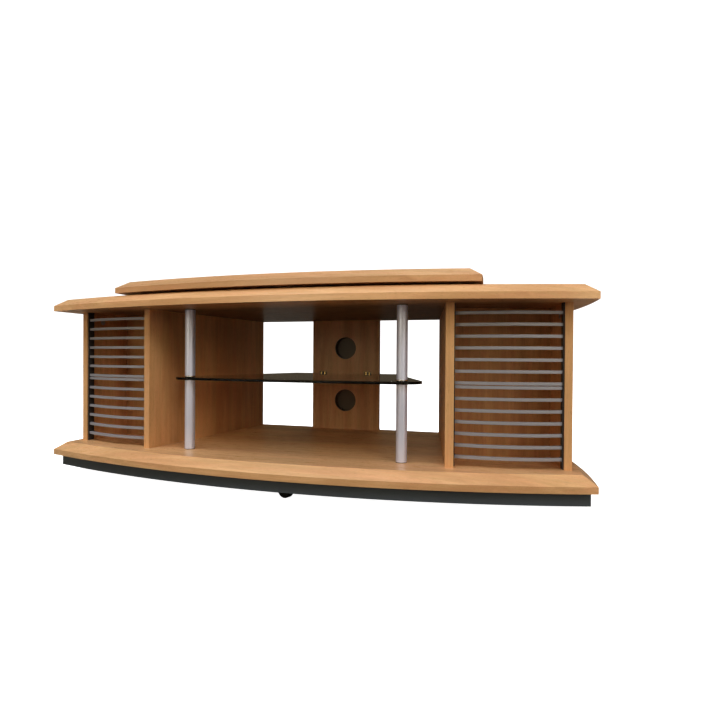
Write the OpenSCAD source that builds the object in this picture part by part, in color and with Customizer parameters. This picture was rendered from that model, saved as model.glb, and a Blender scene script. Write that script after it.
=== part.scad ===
// Low corner tv cabinet with a bowed front, a swivelling top and open slatted media racks.
// X runs to the right, Y to the back, Z up. The origin is on the floor, under the middle.

/* [Cabinet] */
// Width over the ends of the boards
body_w = 1336; // [1200:1:1500]
// Depth from the front of the bow to the back edge
body_d = 590; // [560:1:660]
// How far each cut rear corner runs along the back and along the end
corner_cut = 268; // [200:1:300]
// Clear height between the two main boards
clear_h = 350; // [300:1:420]
// Thickness of the side and back panels
panel_t = 16; // [13:1:20]

/* [Boards] */
// Thickness of the two main boards
board_t = 32; // [28:1:38]
// Height of the upright edge below the bevel
board_edge_h = 14; // [10:1:18]
// Width of the bevel, seen from above
bevel_w = 26; // [15:1:32]
// Radius of the bowed front
front_r = 2500; // [2000:10:4000]
// Radius of the curved ends
end_r = 1500; // [1200:10:3000]
// Distance from the front to the widest point of the ends
end_apex = 120; // [90:1:200]

/* [Plinth and castors] */
// Height of the plinth boards
plinth_h = 30; // [24:1:40]
// Gap between the plinth and the floor
floor_gap = 24; // [20:1:28]
// Thickness of the plinth boards
plinth_t = 16; // [12:1:19]
// How far the plinth stands back from the front edge
plinth_front_inset = 21; // [12:1:30]
// How far the plinth stands back from the curved ends
plinth_end_inset = 11; // [8:1:25]
// Diameter of a castor wheel
wheel_d = 40; // [36:1:42]
// Width of a castor wheel
wheel_w = 16; // [12:1:20]
// Trail of a castor, from its swivel axis to its axle
castor_trail = 16; // [12:1:20]
// Direction of the trail at rest, from +X towards +Y
castor_heading = -20; // [-60:1:60]
// Diameter of a castor axle
axle_d = 6; // [5:0.5:8]
// Thickness of the castor forks and plates
castor_steel = 2; // [1.5:0.1:2.5]
// From the ends of the boards to the front side castors
castor_side_inset = 128; // [100:1:180]
// From the ends of the straight back edge to the rear castors
castor_back_inset = 100; // [60:1:140]
// From the back edge to the rear castors
castor_rear_inset = 55; // [45:1:90]
// Width of a glue block behind the plinth
block_w = 24; // [18:1:30]

/* [Panels] */
// From the end of the boards to the outer face of an outer side panel, at its front
outer_inset = 42; // [30:1:55]
// From the front of the bow to the front of an outer side panel
outer_y = 146; // [135:1:160]
// Depth of an outer side panel
outer_d = 156; // [154:1:170]
// Inward splay of the outer side panels
outer_splay = 6.8; // [4:0.1:8]
// From the middle to the outer face of a divider, at its front
divider_x = 387; // [377:0.5:397]
// From the front of the bow to the front of a divider
divider_y = 97; // [90:1:110]
// Inward splay of the dividers
divider_splay = 8.3; // [6:0.1:9]
// Thickness of the dividers
divider_t = 18; // [14:1:22]
// From the front of the bow to the outer end of a rack back panel
rack_back_y = 276; // [270:1:280]
// Turn of a rack back panel, away from straight across
rack_back_turn = 12; // [8:0.5:14]
// Width of the spine panel at the back of the middle bay
spine_w = 222; // [200:1:240]
// How far the dividers and the spine stop short of the back edge
rear_setback = 10; // [2:1:20]
// Diameter of the cable holes in the spine
cable_hole_d = 70; // [50:1:80]
// Height of a cable hole above or below the middle of the glass
cable_hole_rise = 84; // [60:1:95]

/* [Posts and glass] */
// From the middle to the centre of a post
post_x = 270.5; // [255:0.5:280]
// From the front of the bow to the centre of a post
post_y = 122; // [115:1:140]
// Outer diameter of the posts
post_d = 25; // [20:1:30]
// Wall of the post tubes
post_wall = 1.5; // [1:0.1:3]
// Height of the glass above the bottom board
shelf_z = 174; // [140:1:200]
// Thickness of the glass
glass_t = 6; // [5:0.5:8]
// Half width of the glass at the front
glass_front_half = 313; // [305:1:325]
// Half width of the glass at the back
glass_rear_half = 169; // [150:1:190]
// Radius of the bow along the front of the glass
glass_bow_r = 2500; // [1500:10:4000]
// From the front of the bow to the front of the glass
glass_y = 80; // [76:1:92]
// Radius of the front corners of the glass
glass_corner_r = 42; // [24:1:50]

/* [Racks] */
// Radius of the bow of the slats
slat_bow_r = 460; // [400:5:600]
// From the middle to the foremost point of a slat
slat_apex_x = 432; // [425:1:445]
// Height of a slat
slat_h = 6.9; // [5:0.1:8]
// Thickness of a slat, front to back
slat_t = 6.5; // [3:0.5:8]
// Slats in one rack module
slats_per_module = 7; // [5:1:8]
// Share of the slat pitch between the module's inner edge and its first slat
slat_first_share = 0.17; // [0.15:0.01:0.4]
// From the front of an outer side panel back to its rail
rail_setback = 2.5; // [1:0.5:12]
// Depth of a side rail, front to back
rail_d = 17; // [14:1:24]
// Thickness of a side rail
rail_t = 3; // [2:0.5:4]
// How far the ribs stand out of a side rail
rib_out = 3; // [2:0.5:8]

/* [Swivel top] */
// Width of the swivelling board
swivel_w = 890; // [800:1:960]
// Depth of the swivelling board
swivel_d = 390; // [360:1:430]
// Thickness of the swivelling board
swivel_t = 30; // [25:1:36]
// Height of its upright edge below the bevel
swivel_edge_h = 13; // [9:1:16]
// Width of its bevel, seen from above
swivel_bevel_w = 26; // [15:1:30]
// Radius of its bowed front
swivel_front_r = 2265; // [1500:5:4000]
// Radius of its curved ends
swivel_end_r = 1200; // [900:10:2000]
// Distance from its front to the widest point of its ends
swivel_end_apex = 80; // [60:1:120]
// How far each of its cut rear corners runs along the back and along the end
swivel_corner_cut = 179; // [140:1:200]
// How far its front stands back from the front of the main board
swivel_setback = 17; // [10:1:40]
// Gap between the main board and the swivelling board
swivel_gap = 6; // [5:0.5:10]
// Outer diameter of the ball race
race_d = 260; // [200:1:300]
// Width of the race rings
race_w = 40; // [30:1:50]
// Thickness of a race ring
race_t = 1.2; // [1:0.1:1.5]
// Number of balls
ball_count = 20; // [12:1:28]
// Diameter of the pivot pin
pivot_d = 10; // [8:1:14]

/* [Fittings] */
// Diameter of the wooden dowels
dowel_d = 8; // [6:1:10]
// Length of the wooden dowels
dowel_l = 32; // [24:1:38]
// Diameter of the cam housings
cam_d = 15; // [12:1:18]
// Depth of the cam housings
cam_depth = 12; // [10:0.5:12.5]
// Diameter of the cam bolts
cam_bolt_d = 6; // [5:0.5:7]
// Diameter of the threaded rods inside the posts
rod_d = 8; // [6:1:10]
// From the middle to a clip that holds the back of the glass
clip_x = 75; // [40:1:95]
// Width of a glass clip
clip_w = 22; // [18:1:30]

/* [Hidden] */

// Fineness of the large arcs, of round pieces and of small round pieces
arc_fn = 720;
round_fn = 96;
small_fn = 48;
// How far a cutting shape runs past a face
over = 1;
// Radial clearance of a pin that turns in its bore
running = 0.05;
// Clearance between faces that swing past each other
sliding = 0.3;

beech = [0.80, 0.60, 0.40];
beech_edge = [0.72, 0.50, 0.31];
anthracite = [0.17, 0.18, 0.20];
black = [0.06, 0.06, 0.07];
silver = [0.66, 0.67, 0.70];
steel = [0.60, 0.61, 0.63];
brass_yellow = [0.78, 0.62, 0.30];
smoked = [0.20, 0.18, 0.16, 0.6];

// Heights, from the floor up
base_z = plinth_h + floor_gap;
bay_z = base_z + board_t;
roof_z = bay_z + clear_h;
top_z = roof_z + board_t;
swivel_z = top_z + swivel_gap;
bay_mid_z = bay_z + clear_h / 2;
glass_z = bay_z + shelf_z;
glass_top_z = glass_z + glass_t;

// The front of the bow, the back edge, and the faces of the spine
front_y = -body_d / 2;
back_y = body_d / 2;
end_x = body_w / 2;
spine_back_y = back_y - rear_setback;
spine_front_y = spine_back_y - panel_t;

function rot(v, a) = [v[0] * cos(a) - v[1] * sin(a), v[0] * sin(a) + v[1] * cos(a)];
function mirrored(v, side) = [side * v[0], v[1]];
// Where the line through p along direction d meets the line through q along direction e
function meet(p, d, q, e) =
    let (k = ((q[0] - p[0]) * e[1] - (q[1] - p[1]) * e[0]) / (d[0] * e[1] - d[1] * e[0]))
    p + k * d;
// Where the line from p touches the circle of radius r about c, on its outer side
function tangent_point(p, c, r) =
    let (w = c - p, a = asin(r / norm(w)))
    p + cos(a) * rot(w, a);
// How far an arc of radius r falls back at a distance x from its foremost point
function sagitta(r, x) = r - sqrt(r * r - x * x);

// Right-hand panels: the front corner of the outer face, the way back, the way out
outer_corner = [end_x - outer_inset, front_y + outer_y];
outer_dir = rot([0, 1], outer_splay);
outer_normal = rot([1, 0], outer_splay);
outer_inner = outer_corner - panel_t * outer_normal;
divider_corner = [divider_x, front_y + divider_y];
divider_dir = rot([0, 1], divider_splay);
divider_normal = rot([1, 0], divider_splay);
divider_l = (spine_back_y - divider_corner[1]) / cos(divider_splay);
rack_back_dir = rot([1, 0], rack_back_turn);
rack_back_normal = rot([0, 1], rack_back_turn);
rack_back_outer = meet([0, front_y + rack_back_y], [1, 0], outer_inner, outer_dir);
rack_back_inner = meet(rack_back_outer, rack_back_dir, divider_corner, divider_dir);

// Rack modules. A rail's face on the right starts at the front of its panel: on the divider
// and on the outer panel. The slats bow about slat_centre, from rail to rail.
slat_pitch = clear_h / 2 / slats_per_module;
rail_lip = 3;
rib_gap = 2;
rail_on_divider = divider_corner + rail_t * divider_normal;
rail_on_outer = outer_inner - rail_t * outer_normal;
slat_end = rail_on_outer + (rail_setback + rail_lip) * outer_dir;
slat_centre = [slat_apex_x,
    slat_end[1] + sqrt(slat_bow_r * slat_bow_r - pow(slat_end[0] - slat_apex_x, 2))];

// Castors, each with its wheel free to swing all round
castor_swing = castor_trail + wheel_d / 2;
castor_inset = plinth_front_inset + plinth_t + castor_swing + 3;
castor_side_setback = 80;
castor_side_x = end_x - castor_side_inset;
castor_side_y = sagitta(front_r, castor_side_x) + castor_inset + castor_side_setback;
castor_rear_x = end_x - corner_cut - castor_back_inset;
castor_rear_y = body_d - castor_rear_inset;
castor_front = [0, front_y + castor_inset];
castor_front_left = [-castor_side_x, front_y + castor_side_y];
castor_front_right = [castor_side_x, front_y + castor_side_y];
castor_rear_left = [-castor_rear_x, front_y + castor_rear_y];
castor_rear_right = [castor_rear_x, front_y + castor_rear_y];
castor_places = [castor_front, castor_front_left, castor_front_right, castor_rear_left,
    castor_rear_right];
castor_screw_l = 14;
castor_screw_gap = 1;
castor_screw_margin = 5.5;
screw_r = 2;
screw_head_r = 4;
screw_head_h = 1;
fork_w = wheel_w + 1.2;
fork_top_z = base_z - castor_steel - sliding;
fork_front = 12;
fork_back = 14;
axle_boss = 3;
kingpin_r = 4;
kingpin_l = castor_steel + 2 * sliding;
rivet_rim = 2;
// The plate's screws lie just outside the circle that the fork swings through
fork_sweep_r = norm([fork_back, fork_w / 2 + castor_steel]);
castor_screw_pitch = sqrt(2) * (fork_sweep_r + screw_head_r + castor_screw_gap);
castor_plate_w = castor_screw_pitch + 2 * castor_screw_margin;
hub_wall = 4;
wheel_dish = 2;
wheel_draft = 1;
tread_round = 2;
tread_depth = 5;

// Plinth: the end boards run back to where the corners are cut off
plinth_end_d = body_d - corner_cut - plinth_t;
block_xs = [-480, -320, -160, 160, 320, 480];

// Swivel pivot, race and balls
pivot_y = front_y + swivel_setback + swivel_d / 2;
pivot_sunk = 20;
bush_wall = 2.5;
bush_h = 14;
pin_end_gap = 1;
race_mid_r = race_d / 2 - race_w / 2;
race_screw_r = race_mid_r + race_w * 0.3;
ball_circle_r = race_mid_r - race_w * 0.15;
ball_d = swivel_gap - 2 * race_t - 2 * running;
cage_t = 1.2;
cage_w = 9;
race_screw_count = 4;
upper_screw_turn = 180 / race_screw_count;
race_screw_l = 14;

// Posts and glass
post_place = [post_x, front_y + post_y];
pad_t = 1;
washer_t = 1;
collar_h = 3;
collar_out = 0.5;
washer_in = 0.5;
glass_hole_gap = 0.5;
rod_in_top = 20;
rod_end_gap = 2;
nut_pocket_r = 11;
nut_pocket_h = 10;
nut_r = 9;
nut_h = 6;
clip_plate_t = 2;
clip_lip_t = 1.6;
clip_reach = 12;
clip_rise = 5.5;
clip_screw_r = 1.5;
clip_screw_head_r = 2.2;
clip_screw_l = 12;
glass_rear_y = spine_front_y - clip_plate_t - sliding;
glass_tip = [glass_front_half - glass_corner_r, front_y + glass_y + glass_corner_r
    + sagitta(glass_bow_r - glass_corner_r, glass_front_half - glass_corner_r)];

// Caps in the cable holes
cap_flange_t = 1.5;
cap_flange_w = 2.5;
cap_wall = 1.5;

// Dowels and cams in the panel ends, as distances from a panel's front
dowel_in_board = dowel_l * 0.4;
dowel_in_panel = dowel_l - dowel_in_board;
cam_drop = 24;
cam_bolt_in_board = 12;
dowel_margin = 22;
outer_cam_at = 50;
divider_cam_at = 70;

// The middle of a panel's thickness at a distance from its front corner
function in_outer(distance) =
    outer_corner + distance * outer_dir - panel_t / 2 * outer_normal;
function in_divider(distance) =
    divider_corner + distance * divider_dir - divider_t / 2 * divider_normal;
function in_rack_back(share) =
    rack_back_inner + share * (rack_back_outer - rack_back_inner) + panel_t / 2 * rack_back_normal;

right_dowels = concat(
    [for (d = [dowel_margin, outer_d - dowel_margin]) in_outer(d)],
    [for (d = [dowel_margin, divider_l / 2, divider_l - dowel_margin]) in_divider(d)],
    [for (share = [0.2, 0.8]) in_rack_back(share)]);
dowel_places = concat(
    [for (side = [-1, 1], p = right_dowels) mirrored(p, side)],
    [for (side = [-1, 1]) [side * (spine_w / 2 - dowel_margin), spine_front_y + panel_t / 2]]);
// Each cam has its place, its panel's splay, 180 where it opens towards the middle, and its
// panel's thickness
right_cams = [[in_outer(outer_cam_at), outer_splay, 180, panel_t],
    [in_divider(divider_cam_at), divider_splay, 0, divider_t],
    [in_divider(divider_l - divider_cam_at), divider_splay, 0, divider_t]];

// Copies a right-hand piece to the left
module to_side(side) {
    mirror([side < 0 ? 1 : 0, 0, 0]) children();
}

module at(p, z) {
    translate([p[0], p[1], z]) children();
}

module extrude_from(z, h) {
    translate([0, 0, z]) linear_extrude(h) children();
}

module tube(outer_r, inner_r, h, fn) {
    difference() {
        cylinder(r = outer_r, h = h, $fn = fn);
        translate([0, 0, -over]) cylinder(r = inner_r, h = h + 2 * over, $fn = fn);
    }
}

// A disc of radius r with a bevel round its upper edge
module bevelled_disc(r, t, edge, bevel) {
    rotate_extrude($fn = arc_fn)
        polygon([[0, 0], [r, 0], [r, edge], [r - bevel, t], [0, t]]);
}

// A board with a bowed front and curved ends, bevelled, and with its back corners cut off
// at 45 degrees. half is its half width, cut the length of a cut, bow and end its radii.
module bowed_board(half, depth, cut, bow, end, apex, t, edge, bevel) {
    front = -depth / 2;
    back = half - cut;
    far = half + over;
    cut_y = depth / 2 - cut - over;
    intersection() {
        translate([0, front + bow, 0]) bevelled_disc(bow, t, edge, bevel);
        translate([half - end, front + apex, 0]) bevelled_disc(end, t, edge, bevel);
        translate([end - half, front + apex, 0]) bevelled_disc(end, t, edge, bevel);
        linear_extrude(t)
            polygon([[-far, front - over], [far, front - over], [far, cut_y],
                [back, depth / 2], [-back, depth / 2], [-far, cut_y]]);
    }
}

module main_board(z) {
    translate([0, 0, z])
        bowed_board(end_x, body_d, corner_cut, front_r, end_r, end_apex,
            board_t, board_edge_h, bevel_w);
}

// Bores for the dowels, up or down from a face at height z
module dowel_bores(z, way, depth) {
    for (p = dowel_places)
        at(p, z + way * (depth - over) / 2)
            cylinder(d = dowel_d, h = depth + over, center = true, $fn = small_fn);
}

module panel_dowel_bores() {
    dowel_bores(bay_z, 1, dowel_in_panel);
    dowel_bores(roof_z, -1, dowel_in_panel);
}

// Upright cylinders on the two post axes
module post_cylinders(z, h, r) {
    for (side = [-1, 1])
        at(mirrored(post_place, side), z) cylinder(r = r, h = h, $fn = small_fn);
}

module castor_screw_grid() {
    for (x = [-1, 1], y = [-1, 1])
        translate([x * castor_screw_pitch / 2, y * castor_screw_pitch / 2, 0]) children();
}

module castor_screw_bores() {
    for (p = castor_places)
        at(p, base_z - over)
            castor_screw_grid() cylinder(r = screw_r, h = castor_screw_l + over, $fn = small_fn);
}

module base_board() color(beech) difference() {
    main_board(base_z);
    dowel_bores(bay_z, -1, dowel_in_board);
    post_cylinders(base_z - over, board_t + 2 * over, rod_d / 2);
    post_cylinders(base_z - over, nut_pocket_h + over, nut_pocket_r);
    castor_screw_bores();
}

module top_board() color(beech) difference() {
    main_board(roof_z);
    dowel_bores(roof_z, 1, dowel_in_board);
    for (side = [-1, 1], c = right_cams)
        at(mirrored(c[0], side), roof_z - over)
            cylinder(d = cam_bolt_d, h = cam_bolt_in_board + over, $fn = small_fn);
    post_cylinders(roof_z - over, rod_in_top + over, rod_d / 2);
    at([0, pivot_y], top_z - pivot_sunk)
        cylinder(d = pivot_d, h = pivot_sunk + over, $fn = round_fn);
    race_screw_places(0, top_z - race_screw_l)
        cylinder(r = screw_r, h = race_screw_l + over, $fn = small_fn);
}

module swivel_board() color(beech) difference() {
    at([0, pivot_y], swivel_z)
        bowed_board(swivel_w / 2, swivel_d, swivel_corner_cut, swivel_front_r, swivel_end_r,
            swivel_end_apex, swivel_t, swivel_edge_h, swivel_bevel_w);
    at([0, pivot_y], swivel_z - over)
        cylinder(r = pivot_d / 2 + running + bush_wall, h = bush_h + over, $fn = round_fn);
    race_screw_places(upper_screw_turn, swivel_z - over)
        cylinder(r = screw_r, h = race_screw_l + over, $fn = small_fn);
}

// An upright right-hand panel, back from the front corner of its outer face
module upright(corner, splay, t, l) {
    at(corner, bay_z) rotate([0, 0, splay]) translate([-t, 0, 0]) cube([t, l, clear_h]);
}

// A cam housing's place on the right, its axis running into the panel from the face
module at_cam(c) {
    at(c[0], roof_z - cam_drop)
        rotate([0, 0, c[1] + c[2]])
            translate([c[3] / 2, 0, 0]) rotate([0, -90, 0]) children();
}

module cam_bolt_shape(c, end_z) {
    at(c[0], roof_z - cam_drop)
        cylinder(d = cam_bolt_d, h = end_z - roof_z + cam_drop, $fn = small_fn);
}

module panel_cam_bores() {
    for (c = right_cams) {
        at_cam(c)
            translate([0, 0, -over]) cylinder(d = cam_d, h = cam_depth + over, $fn = small_fn);
        cam_bolt_shape(c, roof_z + over);
    }
}

module outer_panel(side) color(beech) difference() {
    to_side(side) difference() {
        upright(outer_corner, outer_splay, panel_t, outer_d);
        panel_cam_bores();
    }
    panel_dowel_bores();
}

// The divider's back end is cut square, in line with the back of the spine
module divider(side) color(beech) difference() {
    to_side(side) difference() {
        intersection() {
            upright(divider_corner, divider_splay, divider_t, divider_l + divider_t);
            translate([0, front_y, bay_z]) cube([end_x, spine_back_y - front_y, clear_h]);
        }
        panel_cam_bores();
    }
    panel_dowel_bores();
}

// A rack's back panel fills the width between the divider and the outer panel
module rack_back(side) color(beech) difference() {
    back_face = rack_back_outer + panel_t * rack_back_normal;
    to_side(side) extrude_from(bay_z, clear_h)
        polygon([rack_back_inner, rack_back_outer,
            meet(back_face, rack_back_dir, outer_inner, outer_dir),
            meet(back_face, rack_back_dir, divider_corner, divider_dir)]);
    panel_dowel_bores();
}

// The middles of the cable holes, on the spine's back face, looking to the front
module at_cable_holes() {
    for (rise = [-1, 1])
        translate([0, spine_back_y, glass_z + glass_t / 2 + rise * cable_hole_rise])
            rotate([90, 0, 0]) children();
}

module spine_panel() color(beech) difference() {
    translate([-spine_w / 2, spine_front_y, bay_z]) cube([spine_w, panel_t, clear_h]);
    at_cable_holes()
        translate([0, 0, -over])
            cylinder(d = cable_hole_d, h = panel_t + 2 * over, $fn = round_fn);
    panel_dowel_bores();
    at_clip_screws() cylinder(r = clip_screw_r, h = clip_screw_l, $fn = small_fn);
}

// Cups pushed into the cable holes from behind: a flange and a floor at the back, and a
// sleeve that lines the hole
module cable_caps() color(black) {
    outer_r = cable_hole_d / 2 - sliding / 2;
    inner_r = outer_r - cap_wall;
    flange_r = cable_hole_d / 2 + cap_flange_w;
    at_cable_holes()
        rotate_extrude($fn = round_fn)
            polygon([[0, -cap_flange_t], [flange_r, -cap_flange_t], [flange_r, 0], [outer_r, 0],
                [outer_r, panel_t - sliding], [inner_r, panel_t - sliding], [inner_r, 0], [0, 0]]);
}

// The plan of the plinth's outer faces, or with an extra of t all round, of what is inside
module plinth_plan(t) {
    end = end_r - plinth_end_inset - t;
    intersection() {
        plinth_bow(t);
        translate([end_x - end_r, front_y + end_apex]) circle(end, $fn = arc_fn);
        translate([end_r - end_x, front_y + end_apex]) circle(end, $fn = arc_fn);
    }
}

module plinth_bow(t) {
    translate([0, front_y + front_r])
        circle(front_r - plinth_front_inset - t, $fn = arc_fn);
}

// The bowed board runs right across, to the outer faces of the end boards
module plinth_front() color(anthracite) extrude_from(floor_gap, plinth_h) difference() {
    intersection() {
        plinth_plan(0);
        translate([-end_x, front_y]) square([body_w, plinth_end_d]);
    }
    plinth_bow(plinth_t);
}

module plinth_end(side) color(anthracite) extrude_from(floor_gap, plinth_h) to_side(side)
    difference() {
        intersection() {
            plinth_plan(0);
            plinth_bow(plinth_t);
            translate([end_x / 2, front_y]) square([end_x, plinth_end_d]);
        }
        plinth_plan(plinth_t);
    }

// Glue blocks in the corner between the plinth and the bottom board
module plinth_blocks() color(beech_edge) extrude_from(base_z - block_w, block_w)
    intersection() {
        plinth_bow(plinth_t);
        for (x = block_xs)
            translate([x - block_w / 2,
                    front_y + plinth_front_inset + plinth_t + sagitta(front_r, x) - block_w / 2])
                square([block_w, 1.5 * block_w]);
    }

// The glass: bowed in front, narrower at the back, with a rounded front corner at each tip
module glass_plan() {
    rear = [glass_rear_half, glass_rear_y];
    flank = tangent_point(rear, glass_tip, glass_corner_r);
    intersection() {
        translate([0, front_y + glass_y + glass_bow_r]) circle(glass_bow_r, $fn = arc_fn);
        union() {
            polygon([mirrored(rear, -1), mirrored(flank, -1), mirrored(glass_tip, -1),
                [-glass_tip[0], front_y], [glass_tip[0], front_y], glass_tip, flank, rear]);
            for (side = [-1, 1])
                translate(mirrored(glass_tip, side)) circle(glass_corner_r, $fn = round_fn);
        }
    }
}

module glass_shelf() color(smoked) difference() {
    extrude_from(glass_z, glass_t) glass_plan();
    post_cylinders(glass_z - over, glass_t + 2 * over, rod_d / 2 + glass_hole_gap);
}

module post_tube(side, z, end_z) color(silver)
    at(mirrored(post_place, side), z)
        tube(post_d / 2, post_d / 2 - post_wall, end_z - z, round_fn);

module post_lower(side) {
    post_tube(side, bay_z + pad_t, glass_z - washer_t);
}

module post_upper(side) {
    post_tube(side, glass_top_z + washer_t + collar_h, roof_z - pad_t);
}

// Flat rings on both post axes, threaded on the rods
module post_rings(z, h, r) {
    for (side = [-1, 1])
        at(mirrored(post_place, side), z) tube(r, rod_d / 2, h, round_fn);
}

module post_pads() color(black) {
    post_rings(bay_z, pad_t, post_d / 2);
    post_rings(roof_z - pad_t, pad_t, post_d / 2);
}

module glass_washers() color(black) {
    post_rings(glass_z - washer_t, washer_t, post_d / 2 - washer_in);
    post_rings(glass_top_z, washer_t, post_d / 2 - washer_in);
}

module post_collars() color(silver)
    post_rings(glass_top_z + washer_t, collar_h, post_d / 2 + collar_out);

// Threaded rods through the posts, each with a nut in its pocket under the bottom board
module post_rods() color(steel) {
    rod_z = base_z + rod_end_gap;
    post_cylinders(rod_z, roof_z + rod_in_top - rod_z, rod_d / 2);
    for (side = [-1, 1])
        at(mirrored(post_place, side), base_z + nut_pocket_h - nut_h)
            difference() {
                cylinder(r = nut_r, h = nut_h, $fn = 6);
                translate([0, 0, -over])
                    cylinder(d = rod_d, h = nut_h + 2 * over, $fn = small_fn);
            }
}

// The screws of the glass clips, from the front face of a clip's plate into the spine
module at_clip_screws() {
    for (side = [-1, 1], dx = [-1, 1])
        translate([side * clip_x + dx * clip_w / 4, spine_front_y - clip_plate_t,
                glass_top_z + clip_rise / 2])
            rotate([-90, 0, 0]) children();
}

// Clips on the spine that carry the back edge of the glass on a lip
module shelf_clips() color(black) difference() {
    for (side = [-1, 1])
        translate([side * clip_x - clip_w / 2, spine_front_y, 0]) {
            translate([0, -clip_plate_t, glass_z - clip_lip_t])
                cube([clip_w, clip_plate_t, clip_lip_t + glass_t + clip_rise]);
            translate([0, -clip_reach, glass_z - clip_lip_t])
                cube([clip_w, clip_reach, clip_lip_t]);
        }
    at_clip_screws()
        translate([0, 0, -over])
            cylinder(r = clip_screw_r, h = clip_plate_t + 2 * over, $fn = small_fn);
}

module clip_screws() color(brass_yellow) at_clip_screws() {
    cylinder(r = clip_screw_r, h = clip_screw_l, $fn = small_fn);
    translate([0, 0, -screw_head_h])
        cylinder(r = clip_screw_head_r, h = screw_head_h, $fn = small_fn);
}

// Height of the middle of slat i of a module, counted from where the modules meet
function slat_z(i, way) =
    bay_mid_z + way * (i + slat_first_share) * slat_pitch;

// How far back along a panel the front of a slat meets the line from p along dir
function slat_from(p, dir) =
    let (q = p - slat_centre, b = q * dir)
    -b - sqrt(b * b - q * q + slat_bow_r * slat_bow_r);

// The plan of a slat: the bow between the faces of the two rails
module slat_plan() {
    far = body_d / 2;
    intersection() {
        translate(slat_centre)
            difference() {
                circle(slat_bow_r, $fn = arc_fn);
                circle(slat_bow_r - slat_t, $fn = arc_fn);
            }
        polygon([rail_on_divider - far * divider_dir, rail_on_outer - far * outer_dir,
            rail_on_outer + far * outer_dir, rail_on_divider + far * divider_dir]);
        translate([0, front_y]) square([end_x, slat_centre[1] - front_y]);
    }
}

// The slats of one module; way is 1 for the upper one and -1 for the lower one
module slats(side, way) color(silver) to_side(side)
    for (i = [0:slats_per_module - 1])
        extrude_from(slat_z(i, way) - slat_h / 2, slat_h) slat_plan();

// A rail in its panel's frame, standing out along +X; y is where the slats' fronts meet it
module rail(y) {
    rib_y = y + slat_t + rib_gap;
    translate([0, y - rail_lip, bay_z]) cube([rail_t, rail_d, clear_h]);
    for (way = [-1, 1], i = [0:slats_per_module - 1])
        translate([rail_t - over, rib_y, slat_z(i, way) - slat_h / 2])
            cube([rib_out + over, y - rail_lip + rail_d - rib_y, slat_h]);
}

// The frames of the divider's outer face and of the outer panel's inner face
module on_divider() {
    at(divider_corner, 0) rotate([0, 0, divider_splay]) children();
}

module on_outer() {
    at(outer_inner, 0) rotate([0, 0, outer_splay]) mirror([1, 0, 0]) children();
}

module rails(side) color(black) to_side(side) {
    on_divider() rail(slat_from(rail_on_divider, divider_dir));
    on_outer() rail(slat_from(rail_on_outer, outer_dir));
}

// Screw places round the race, turned by an angle, at height z
module race_screw_places(turn, z) {
    at([0, pivot_y], z)
        for (i = [0:race_screw_count - 1])
            rotate([0, 0, turn + i * 360 / race_screw_count])
                translate([race_screw_r, 0, 0]) children();
}

module race_ring(z, turn) color(steel) difference() {
    at([0, pivot_y], z) tube(race_d / 2, race_d / 2 - race_w, race_t, 2 * round_fn);
    race_screw_places(turn, z - over)
        cylinder(r = screw_r, h = race_t + 2 * over, $fn = small_fn);
}

// A race screw along +Z, from its tip to its head on a race ring
module race_screw() {
    cylinder(r = screw_r, h = race_screw_l + race_t, $fn = small_fn);
    translate([0, 0, race_screw_l + race_t])
        cylinder(r = screw_head_r, h = screw_head_h, $fn = small_fn);
}

module race_screws_lower() color(steel)
    race_screw_places(0, top_z - race_screw_l) race_screw();

module race_screws_upper() color(steel)
    race_screw_places(upper_screw_turn, swivel_z + race_screw_l) mirror([0, 0, 1]) race_screw();

// The cage keeps the balls apart, and both roll round between the race rings
module ball_ring() color(steel) at([0, pivot_y], top_z + swivel_gap / 2) {
    difference() {
        translate([0, 0, -cage_t / 2])
            tube(ball_circle_r + cage_w / 2, ball_circle_r - cage_w / 2, cage_t, 2 * round_fn);
        ball_places()
            cylinder(d = ball_d + 2 * running, h = cage_t + 2 * over, center = true, $fn = small_fn);
    }
    ball_places() sphere(d = ball_d, $fn = small_fn);
}

module ball_places() {
    for (i = [0:ball_count - 1])
        rotate([0, 0, i * 360 / ball_count]) translate([ball_circle_r, 0, 0]) children();
}

module pivot_pin() color(steel) at([0, pivot_y], top_z - pivot_sunk)
    cylinder(d = pivot_d, h = pivot_sunk + swivel_gap + bush_h - pin_end_gap, $fn = round_fn);

module pivot_bush() color(black) at([0, pivot_y], swivel_z)
    tube(pivot_d / 2 + running + bush_wall, pivot_d / 2 + running, bush_h, round_fn);

// The screw plates under the bottom board, each with a riveted kingpin
module castor_plates() color(steel)
    for (p = castor_places)
        at(p, base_z - castor_steel) {
            difference() {
                translate([-castor_plate_w / 2, -castor_plate_w / 2, 0])
                    cube([castor_plate_w, castor_plate_w, castor_steel]);
                translate([0, 0, -over]) castor_screw_grid()
                    cylinder(r = screw_r, h = castor_steel + 2 * over, $fn = small_fn);
            }
            translate([0, 0, -kingpin_l]) cylinder(r = kingpin_r, h = kingpin_l, $fn = small_fn);
            translate([0, 0, -kingpin_l - castor_steel])
                cylinder(r = kingpin_r + rivet_rim, h = castor_steel, $fn = small_fn);
        }

module castor_screws() color(steel)
    for (p = castor_places)
        at(p, base_z - castor_steel) castor_screw_grid() {
            cylinder(r = screw_r, h = castor_steel + castor_screw_l, $fn = small_fn);
            translate([0, 0, -screw_head_h])
                cylinder(r = screw_head_r, h = screw_head_h, $fn = small_fn);
        }

// The own frame of the castor at place p: the trail runs along local +X
module at_castor(p) {
    at(p, 0) rotate([0, 0, castor_heading]) children();
}

// The side of a fork, from its top plate down to the axle
module cheek_plan() {
    r = axle_d / 2 + axle_boss;
    polygon([[-fork_front, fork_top_z], [fork_back, fork_top_z],
        [castor_trail + r, wheel_d / 2], [castor_trail - r, wheel_d / 2]]);
    translate([castor_trail, wheel_d / 2]) circle(r, $fn = small_fn);
}

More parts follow.
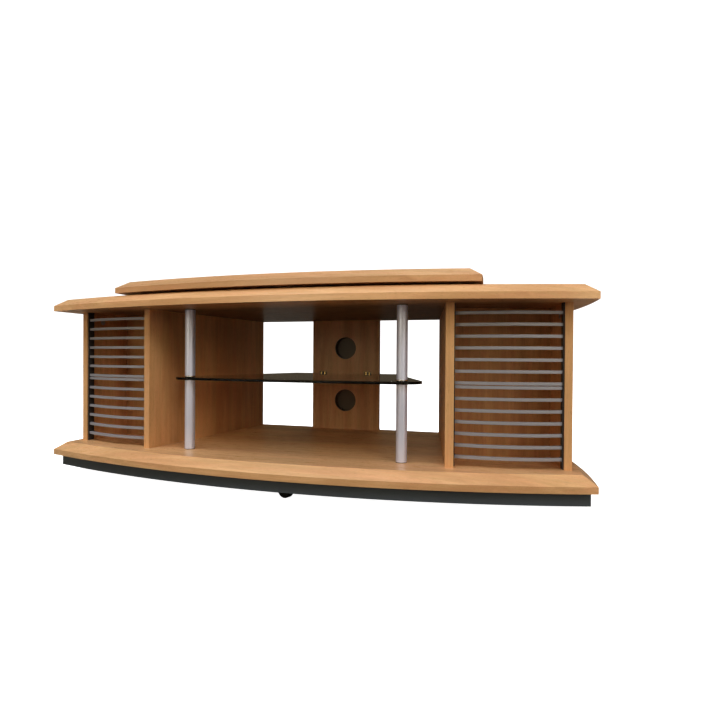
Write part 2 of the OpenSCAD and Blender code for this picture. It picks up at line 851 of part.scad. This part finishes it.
module castor_fork(p) color(steel) at_castor(p) difference() {
    union() {
        translate([-fork_front, -fork_w / 2 - castor_steel, fork_top_z - castor_steel])
            cube([fork_front + fork_back, fork_w + 2 * castor_steel, castor_steel]);
        for (side = [-1, 1])
            translate([0, side * (fork_w + castor_steel) / 2 + castor_steel / 2, 0])
                rotate([90, 0, 0]) linear_extrude(castor_steel) cheek_plan();
    }
    translate([0, 0, fork_top_z - castor_steel - over])
        cylinder(r = kingpin_r + running, h = castor_steel + 2 * over, $fn = small_fn);
    axle_shape(fork_w + 4 * castor_steel);
}

module axle_shape(l) {
    translate([castor_trail, 0, wheel_d / 2])
        rotate([90, 0, 0]) cylinder(d = axle_d, h = l, center = true, $fn = small_fn);
}

module castor_axle(p) color(steel) at_castor(p) axle_shape(fork_w + 2 * castor_steel);

// A wheel with a rounded tread, dished sides and a bored hub
module castor_wheel(p) color(black) at_castor(p)
    translate([castor_trail, 0, wheel_d / 2]) rotate([90, 0, 0])
        rotate_extrude($fn = round_fn) {
            bore = axle_d / 2 + running;
            hub = axle_d / 2 + hub_wall;
            rim = wheel_d / 2;
            w = wheel_w / 2;
            step = rim - tread_depth;
            polygon([[bore, -w], [hub, -w], [hub + wheel_draft, wheel_dish - w],
                [step, wheel_dish - w], [step + wheel_draft, -w], [rim - tread_round, -w],
                [rim, tread_round - w], [rim, w - tread_round], [rim - tread_round, w],
                [step + wheel_draft, w], [step, w - wheel_dish],
                [hub + wheel_draft, w - wheel_dish], [hub, w], [bore, w]]);
        }

module dowels() color(beech_edge)
    for (p = dowel_places, z = [bay_z - dowel_in_board, roof_z - dowel_in_panel])
        at(p, z) cylinder(d = dowel_d, h = dowel_l, $fn = small_fn);

module cam_housings() color(steel)
    for (side = [-1, 1], c = right_cams) to_side(side)
        difference() {
            at_cam(c) cylinder(d = cam_d, h = cam_depth, $fn = small_fn);
            cam_bolt_shape(c, roof_z);
        }

module cam_bolts() color(steel)
    for (side = [-1, 1], c = right_cams)
        to_side(side) cam_bolt_shape(c, roof_z + cam_bolt_in_board);

base_board();
top_board();
swivel_board();
outer_panel(-1);  // outer_panel_left
outer_panel(1);  // outer_panel_right
divider(-1);  // divider_left
divider(1);  // divider_right
rack_back(-1);  // rack_back_left
rack_back(1);  // rack_back_right
spine_panel();
plinth_front();
plinth_end(-1);  // plinth_end_left
plinth_end(1);  // plinth_end_right
plinth_blocks();
cable_caps();
glass_shelf();
post_lower(-1);  // post_lower_left
post_lower(1);  // post_lower_right
post_upper(-1);  // post_upper_left
post_upper(1);  // post_upper_right
post_rods();
post_pads();
glass_washers();
post_collars();
shelf_clips();
clip_screws();
slats(-1, 1);  // slats_left_upper
slats(-1, -1);  // slats_left_lower
slats(1, 1);  // slats_right_upper
slats(1, -1);  // slats_right_lower
rails(-1);  // rails_left
rails(1);  // rails_right
race_ring(top_z, 0);  // race_lower
race_ring(swivel_z - race_t, upper_screw_turn);  // race_upper
ball_ring();
pivot_pin();
pivot_bush();
race_screws_lower();
race_screws_upper();
castor_plates();
castor_screws();
castor_fork(castor_front);  // castor_fork_front
castor_axle(castor_front);  // castor_axle_front
castor_wheel(castor_front);  // castor_wheel_front
castor_fork(castor_front_left);  // castor_fork_front_left
castor_axle(castor_front_left);  // castor_axle_front_left
castor_wheel(castor_front_left);  // castor_wheel_front_left
castor_fork(castor_front_right);  // castor_fork_front_right
castor_axle(castor_front_right);  // castor_axle_front_right
castor_wheel(castor_front_right);  // castor_wheel_front_right
castor_fork(castor_rear_left);  // castor_fork_rear_left
castor_axle(castor_rear_left);  // castor_axle_rear_left
castor_wheel(castor_rear_left);  // castor_wheel_rear_left
castor_fork(castor_rear_right);  // castor_fork_rear_right
castor_axle(castor_rear_right);  // castor_axle_rear_right
castor_wheel(castor_rear_right);  // castor_wheel_rear_right
dowels();
cam_housings();
cam_bolts();
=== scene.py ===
import math

import bpy
from mathutils import Matrix, Vector

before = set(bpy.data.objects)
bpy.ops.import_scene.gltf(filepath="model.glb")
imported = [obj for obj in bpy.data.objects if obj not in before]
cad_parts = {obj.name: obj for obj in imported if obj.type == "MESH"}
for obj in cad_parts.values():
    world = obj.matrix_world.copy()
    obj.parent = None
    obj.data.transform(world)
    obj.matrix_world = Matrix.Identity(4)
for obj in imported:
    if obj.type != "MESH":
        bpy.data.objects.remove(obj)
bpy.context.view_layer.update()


# ---- Node trees ------------------------------------------------------------

class Nodes:
    """The node tree of a new material or world, with short calls to add and join nodes."""

    def __init__(self, owner):
        owner.use_nodes = True
        self.owner = owner
        self.tree = owner.node_tree

    def add(self, kind, **values):
        node = self.tree.nodes.new(kind)
        for key, value in values.items():
            setattr(node, key, value)
        return node

    def put(self, socket, value):
        """Joins a socket to the value's socket, or sets it to a plain value."""
        if isinstance(value, bpy.types.NodeSocket):
            self.tree.links.new(value, socket)
        else:
            socket.default_value = value

    def coordinates(self, kind="Object"):
        return self.add("ShaderNodeTexCoord").outputs[kind]

    def place(self):
        """The point on the object, in metres, shifted by a random step for each piece."""
        step = self.add("ShaderNodeVectorMath", operation="SCALE")
        step.inputs[0].default_value = (7.3, 3.1, 5.7)
        self.put(step.inputs["Scale"], self.add("ShaderNodeObjectInfo").outputs["Random"])
        total = self.add("ShaderNodeVectorMath", operation="ADD")
        self.put(total.inputs[0], self.coordinates())
        self.put(total.inputs[1], step.outputs[0])
        return total.outputs[0]

    def split(self, vector):
        """The X, Y and Z of a vector."""
        node = self.add("ShaderNodeSeparateXYZ")
        self.put(node.inputs[0], vector)
        return node.outputs

    def stretch(self, vector, scale):
        node = self.add("ShaderNodeVectorMath", operation="MULTIPLY")
        self.put(node.inputs[0], vector)
        self.put(node.inputs[1], scale)
        return node.outputs[0]

    def noise(self, vector, scale=1.0, detail=3.0, roughness=0.5, distortion=0.0):
        node = self.add("ShaderNodeTexNoise")
        self.put(node.inputs["Vector"], vector)
        node.inputs["Scale"].default_value = scale
        node.inputs["Detail"].default_value = detail
        node.inputs["Roughness"].default_value = roughness
        node.inputs["Distortion"].default_value = distortion
        return node.outputs["Fac"]

    def math(self, operation, a, b=0.0):
        node = self.add("ShaderNodeMath", operation=operation)
        self.put(node.inputs[0], a)
        self.put(node.inputs[1], b)
        return node.outputs[0]

    def weigh(self, *pairs):
        """The sum of each value times its weight."""
        total = None
        for value, weight in pairs:
            part = self.math("MULTIPLY", value, weight)
            total = part if total is None else self.math("ADD", total, part)
        return total

    def spread(self, value, low, high, to_low=0.0, to_high=1.0, kind="SMOOTHSTEP"):
        """Maps low..high to to_low..to_high, and stays level outside."""
        node = self.add("ShaderNodeMapRange", interpolation_type=kind)
        self.put(node.inputs["Value"], value)
        self.put(node.inputs["From Min"], low)
        self.put(node.inputs["From Max"], high)
        self.put(node.inputs["To Min"], to_low)
        self.put(node.inputs["To Max"], to_high)
        return node.outputs["Result"]

    def blend(self, share, a, b, kind="MIX"):
        """Goes from colour a to colour b as share goes from 0 to 1."""
        node = self.add("ShaderNodeMix", data_type="RGBA", blend_type=kind)
        self.put(node.inputs[0], share)
        self.put(node.inputs[6], a if isinstance(a, bpy.types.NodeSocket) else (*a, 1.0))
        self.put(node.inputs[7], b if isinstance(b, bpy.types.NodeSocket) else (*b, 1.0))
        return node.outputs[2]

    def choose(self, share, a, b):
        """Goes from shader a to shader b as share goes from 0 to 1."""
        node = self.add("ShaderNodeMixShader")
        self.put(node.inputs[0], share)
        self.put(node.inputs[1], a)
        self.put(node.inputs[2], b)
        return node.outputs[0]

    def bump(self, height, strength, distance):
        node = self.add("ShaderNodeBump")
        node.inputs["Strength"].default_value = strength
        node.inputs["Distance"].default_value = distance
        self.put(node.inputs["Height"], height)
        self.set(Normal=node.outputs["Normal"])

    def set(self, **values):
        """Sets the inputs of a material's Principled shader."""
        for key, value in values.items():
            if isinstance(value, tuple) and len(value) == 3:
                value = (*value, 1.0)
            self.put(self.tree.nodes["Principled BSDF"].inputs[key.replace("_", " ")], value)


# ---- Materials -------------------------------------------------------------

GRAIN_SQUEEZE = 16.0      # how much finer the wood's pattern is across the grain than along it
FACES_DOWN = (-0.9, -0.4)  # the range of a normal's Z that fades from an underside to other faces


def grain_space(n, along, normal):
    """Coordinates drawn out along the grain; edges square to it keep long grain."""
    squeeze = {axis: tuple(1.0 if other == axis else GRAIN_SQUEEZE for other in "xyz")
               for axis in "xyz"}
    scales = n.add("ShaderNodeMix", data_type="VECTOR")
    end = n.spread(n.math("ABSOLUTE", normal[along.upper()]), 0.55, 0.75)
    n.put(scales.inputs[0], end)
    n.put(scales.inputs[4], squeeze[along])
    n.put(scales.inputs[5], squeeze["y"])
    return n.stretch(n.place(), scales.outputs[1])


def shade_underside(n, colour, normal):
    """Darkens an underside towards the middle of the back, where little light gets in."""
    spot = n.split(n.coordinates())
    inward = n.spread(n.math("ABSOLUTE", spot["X"]), 0.50, 0.64, 1.0, 0.0)
    deeper = n.spread(spot["Y"], -0.27, -0.13, 0.20, 0.66)
    shaded = n.blend(n.math("MULTIPLY", inward, deeper), colour, (0.0, 0.0, 0.0))
    return n.blend(n.spread(normal["Z"], *FACES_DOWN), shaded, colour)


def beech_foil(name, along, light, dark, fleck, roughness=0.36):
    """Beech-effect foil, with broad bands, fine grain, a faint blush and dark pores."""
    n = Nodes(bpy.data.materials.new(name))
    normal = n.split(n.coordinates("Normal"))
    grain = grain_space(n, along, normal)
    broad = n.noise(grain, 1.1, 3.0, 0.5, 0.5)
    bands = n.noise(grain, 4.5, 4.0, 0.6, 0.9)
    fine = n.noise(grain, 22.0, 5.0, 0.7, 0.2)
    pores = n.noise(grain, 75.0, 2.0, 0.5)
    blush = n.noise(grain, 3.1, 2.0, 0.5, 0.7)

    tone = n.weigh((broad, 0.45), (bands, 0.35), (fine, 0.20))
    colour = n.blend(n.spread(tone, 0.38, 0.62), light, dark)
    colour = n.blend(n.spread(blush, 0.40, 0.62), colour, (1.0, 0.94, 0.96), "MULTIPLY")
    marks = n.spread(pores, 0.60, 0.72, 0.0, 0.55)
    colour = n.blend(marks, colour, fleck)
    n.set(Base_Color=shade_underside(n, colour, normal),
          Specular_IOR_Level=n.spread(normal["Z"], *FACES_DOWN, 0.08, 0.4),
          Roughness=n.spread(fine, 0.3, 0.7, roughness - 0.05, roughness + 0.07))
    n.bump(n.weigh((fine, 0.5), (marks, -0.8)), 0.12, 0.0004)
    return n.owner


def speckled(name, colour, other, roughness, metallic=0.0, grain=(900.0, 900.0, 900.0),
             bump=0.08, cloud=6.0):
    """A painted, moulded or plated surface: a fine texture over slow changes of tone."""
    n = Nodes(bpy.data.materials.new(name))
    place = n.place()
    fine = n.noise(n.stretch(place, grain), 1.0, 3.0, 0.6)
    slow = n.noise(place, cloud, 3.0, 0.55, 0.3)
    share = n.weigh((fine, 0.5), (slow, 0.5))
    n.set(Base_Color=n.blend(n.spread(share, 0.35, 0.65), colour, other), Metallic=metallic,
          Roughness=n.spread(share, 0.35, 0.65, roughness - 0.06, roughness + 0.06))
    n.bump(fine, bump, 0.0003)
    return n.owner


def smoked_glass(name):
    """Tinted glass with faint smears; its colour deepens with thickness, and light passes it."""
    n = Nodes(bpy.data.materials.new(name))
    smear = n.noise(n.stretch(n.place(), (9.0, 5.0, 9.0)), 1.0, 4.0, 0.6, 0.6)
    n.set(Base_Color=(0.90, 0.88, 0.86), IOR=1.5, Transmission_Weight=1.0,
          Roughness=n.spread(smear, 0.35, 0.75, 0.01, 0.05))
    tint = n.add("ShaderNodeVolumeAbsorption")
    tint.inputs["Color"].default_value = (0.40, 0.31, 0.20, 1.0)
    tint.inputs["Density"].default_value = 120.0
    through = n.add("ShaderNodeBsdfTransparent")
    through.inputs["Color"].default_value = (0.70, 0.65, 0.57, 1.0)
    output = n.tree.nodes["Material Output"]
    n.put(output.inputs["Volume"], tint.outputs["Volume"])
    n.put(output.inputs["Surface"],
          n.choose(n.add("ShaderNodeLightPath").outputs["Is Shadow Ray"],
                   n.tree.nodes["Principled BSDF"].outputs[0], through.outputs[0]))
    return n.owner


# Wood: name, axis of the grain, light tone, dark tone, flecks, roughness.
board = beech_foil("beech_boards", "x", (0.815, 0.492, 0.255), (0.640, 0.368, 0.180),
                   (0.455, 0.245, 0.110), 0.30)
# A darker copy of the board foil for the swivel board: painted shade, since its edges get less
# light than the other boards.
upper = beech_foil("beech_swivel_board_painted_shade", "x", (0.690, 0.412, 0.214), (0.540, 0.306, 0.150),
                   (0.390, 0.210, 0.094), 0.30)
panel = beech_foil("beech_panels", "z", (0.760, 0.448, 0.222), (0.610, 0.342, 0.160),
                   (0.390, 0.205, 0.088), 0.42)
# A darker copy of the panel foil for the rack backs: painted shade for the little light that gets
# in behind the slats.
back = beech_foil("beech_backs_painted_shade", "z", (0.590, 0.322, 0.148), (0.460, 0.240, 0.104),
                  (0.300, 0.150, 0.062), 0.5)
raw_wood = beech_foil("bare_beech", "z", (0.60, 0.42, 0.24), (0.50, 0.33, 0.18),
                      (0.36, 0.22, 0.11), 0.6)

# The rest: name, two tones, roughness, and how metallic it is.
plinth = speckled("anthracite_foil", (0.086, 0.101, 0.124), (0.103, 0.120, 0.146), 0.55,
                  grain=(700.0, 700.0, 1400.0), bump=0.15)
black = speckled("black_plastic", (0.012, 0.012, 0.013), (0.020, 0.020, 0.022), 0.48, bump=0.2)
rail = speckled("rail_plastic", (0.036, 0.034, 0.034), (0.052, 0.049, 0.048), 0.42, bump=0.2)
# The cable caps' brown-black colour is painted shade: it stands for the dark shaded space seen
# through open cable holes.
cap = speckled("hole_shade_brown_black", (0.125, 0.090, 0.062), (0.160, 0.116, 0.082), 0.5,
               bump=0.2)
tube = speckled("silver_tube", (0.67, 0.69, 0.85), (0.70, 0.72, 0.88), 0.46, 0.48,
                (700.0, 700.0, 700.0), 0.004)
collar = speckled("bright_collar", (0.80, 0.80, 0.82), (0.86, 0.86, 0.88), 0.14, 1.0,
                  (300.0, 300.0, 2500.0), 0.03)
slat = speckled("silver_plastic", (0.320, 0.313, 0.352), (0.350, 0.343, 0.385), 0.50, 0.15,
                (260.0, 900.0, 900.0), 0.06)
brass = speckled("brass", (0.36, 0.23, 0.09), (0.44, 0.30, 0.13), 0.36, 1.0, bump=0.05)
steel = speckled("zinc_steel", (0.46, 0.47, 0.49), (0.56, 0.57, 0.59), 0.38, 0.9, bump=0.1,
                 cloud=40.0)
glass = smoked_glass("smoked_glass")

CASTORS = ["front", "front_left", "front_right", "rear_left", "rear_right"]
forks = ["castor_fork_" + castor for castor in CASTORS]
axles = ["castor_axle_" + castor for castor in CASTORS]
wheels = ["castor_wheel_" + castor for castor in CASTORS]
boards = ["base_board", "top_board"]
uprights = ["outer_panel_left", "outer_panel_right", "divider_left", "divider_right",
            "spine_panel"]
rack_backs = ["rack_back_left", "rack_back_right"]
plinths = ["plinth_front", "plinth_end_left", "plinth_end_right"]
posts = ["post_lower_left", "post_lower_right", "post_upper_left", "post_upper_right"]
rails = ["rails_left", "rails_right"]
slats = ["slats_left_upper", "slats_left_lower", "slats_right_upper", "slats_right_lower"]

looks = {
    board: boards,
    upper: ["swivel_board"],
    panel: uprights,
    back: rack_backs,
    raw_wood: ["plinth_blocks", "dowels"],
    plinth: plinths,
    cap: ["cable_caps"],
    rail: rails,
    black: ["post_pads", "glass_washers", "shelf_clips", "pivot_bush"] + wheels,
    tube: posts,
    collar: ["post_collars"],
    slat: slats,
    brass: ["clip_screws"],
    steel: ["post_rods", "race_lower", "race_upper", "ball_ring", "pivot_pin",
            "race_screws_lower", "race_screws_upper", "castor_plates", "castor_screws",
            "cam_housings", "cam_bolts"] + forks + axles,
    glass: ["glass_shelf"],
}
for material, names in looks.items():
    for name in names:
        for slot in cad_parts[name].material_slots:
            slot.material = material


# ---- Softened edges --------------------------------------------------------

def soften(name, width):
    """Rounds a node's sharp edges, as its foil, moulding or polishing does."""
    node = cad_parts[name]
    weld = node.modifiers.new("weld", "WELD")
    weld.merge_threshold = 0.00002
    bevel = node.modifiers.new("bevel", "BEVEL")
    bevel.width = width
    bevel.segments = 3
    bevel.limit_method = "ANGLE"
    bevel.angle_limit = math.radians(28)
    bevel.use_clamp_overlap = True
    bevel.miter_outer = "MITER_ARC"
    normals = node.modifiers.new("normals", "WEIGHTED_NORMAL")
    normals.keep_sharp = False
    normals.weight = 80
    for face in node.data.polygons:
        face.use_smooth = True


edges = {
    0.0014: boards + ["swivel_board"],
    0.0008: uprights + rack_backs + plinths,
    0.0007: ["glass_shelf"] + wheels,
    0.0004: posts + rails + forks + ["post_collars", "post_pads", "glass_washers", "cable_caps",
                                     "castor_plates"],
    0.0003: slats,
}
for width, names in edges.items():
    for name in names:
        soften(name, width)


# ---- Stage -----------------------------------------------------------------

WHITE = (1.0, 1.0, 1.0)
BACKDROP = 1.05           # the strength that shows as pure white
COOL, WARM = (0.91, 1.0, 1.08), (1.0, 0.93, 0.70)


def floor_material():
    """A pale floor that turns to seamless white away from the cabinet.

    It throws little light up under the cabinet, and more at its two ends.
    """
    n = Nodes(bpy.data.materials.new("pale_floor"))
    place = n.coordinates()
    seen = n.add("ShaderNodeLightPath").outputs["Is Camera Ray"]
    pale = n.blend(n.noise(place, 1.5, 2.0), (0.86, 0.86, 0.86), (0.90, 0.90, 0.90))
    beside = n.spread(n.math("ABSOLUTE", n.split(place)["X"]), 0.64, 1.0)
    thrown = n.blend(beside, (0.11, 0.09, 0.07), (0.50, 0.46, 0.40))
    away = n.add("ShaderNodeVectorMath", operation="LENGTH")
    n.put(away.inputs[0], n.stretch(place, (0.85, 1.45, 1.0)))
    glow = n.spread(away.outputs["Value"], 0.50, 0.90, 0.84, BACKDROP)
    n.set(Base_Color=n.blend(seen, thrown, pale), Roughness=0.9, Specular_IOR_Level=0.1,
          Emission_Color=WHITE, Emission_Strength=n.math("MULTIPLY", glow, seen))
    return n.owner


def floor():
    mesh = bpy.data.meshes.new("floor")
    mesh.from_pydata([(-9, -5, 0), (9, -5, 0), (9, 12, 0), (-9, 12, 0)], [], [(0, 1, 2, 3)])
    mesh.materials.append(floor_material())
    piece = bpy.data.objects.new("floor", mesh)
    bpy.context.collection.objects.link(piece)


def sky(colour, strength, front, behind):
    """A white backdrop round a dim room; front and behind are its strengths in reflections."""
    world = bpy.data.worlds.new("room")
    bpy.context.scene.world = world
    n = Nodes(world)
    path = n.add("ShaderNodeLightPath").outputs
    mirrored = n.spread(n.split(n.coordinates("Generated"))["Y"], -0.3, 0.3, front, behind,
                        "LINEAR")
    room = n.add("ShaderNodeBackground")
    n.put(room.inputs["Color"], (*colour, 1.0))
    n.put(room.inputs["Strength"],
          n.spread(path["Is Glossy Ray"], 0.0, 1.0, strength, mirrored, "LINEAR"))
    white = n.add("ShaderNodeBackground")
    n.put(white.inputs["Color"], (*WHITE, 1.0))
    n.put(white.inputs["Strength"], BACKDROP)
    n.put(n.tree.nodes["World Output"].inputs["Surface"],
          n.choose(path["Is Camera Ray"], room.outputs[0], white.outputs[0]))


def dome_light(name, azimuth, elevation, watts, size=1.5, colour=WHITE):
    """A soft round light on a dome about the cabinet; azimuth turns from the front to the right."""
    centre, away = Vector((0.0, -0.1, 0.25)), 5.0
    a, e = math.radians(azimuth), math.radians(elevation)
    outward = Vector((math.sin(a) * math.cos(e), -math.cos(a) * math.cos(e), math.sin(e)))
    light = bpy.data.lights.new(name, "AREA")
    light.shape = "DISK"
    light.size = size
    light.energy = watts
    light.color = colour
    lamp = bpy.data.objects.new(name, light)
    lamp.location = centre + away * outward
    lamp.rotation_mode = "QUATERNION"
    lamp.rotation_quaternion = (-outward).to_track_quat("-Z", "Y")
    bpy.context.collection.objects.link(lamp)


floor()
sky((1.0, 0.82, 0.58), 0.035, 0.40, 0.085)
dome_light("high_left", -48, 63, 80.0, colour=COOL)
dome_light("key", 10, 50, 44.0)
dome_light("right", 40, 34, 36.0)
dome_light("low_left", -20, 13, 36.0, 2.0, WARM)
dome_light("low_right", 50, 16, 31.0, 2.0, WARM)
dome_light("top", 0, 87, 67.0, 3.3, (0.88, 1.0, 1.18))
dome_light("rear", 180, 40, 18.0, 2.0, WARM)


# ---- Camera ----------------------------------------------------------------

def camera(place, yaw, pitch, roll, lens):
    """yaw turns left from +Y and pitch is below the horizon, all in degrees."""
    y, p, r = (math.radians(a) for a in (yaw, pitch, roll))
    ahead = Vector((-math.sin(y) * math.cos(p), math.cos(y) * math.cos(p), -math.sin(p)))
    level = Vector((math.cos(y), math.sin(y), 0.0))
    below = ahead.cross(level)
    right = math.cos(r) * level + math.sin(r) * below
    down = math.cos(r) * below - math.sin(r) * level
    data = bpy.data.cameras.new("camera")
    data.lens = lens
    data.sensor_width = 36.0
    eye = bpy.data.objects.new("camera", data)
    turn = Matrix((right, -down, -ahead)).transposed().to_4x4()
    eye.matrix_world = Matrix.Translation(place) @ turn
    bpy.context.collection.objects.link(eye)
    bpy.context.scene.camera = eye


camera((0.48107, -1.26436, 0.32036), 15.74, 0.40, -0.36, 24.925)
bpy.context.scene.view_settings.view_transform = "Standard"
bpy.context.scene.view_settings.look = "Medium High Contrast"
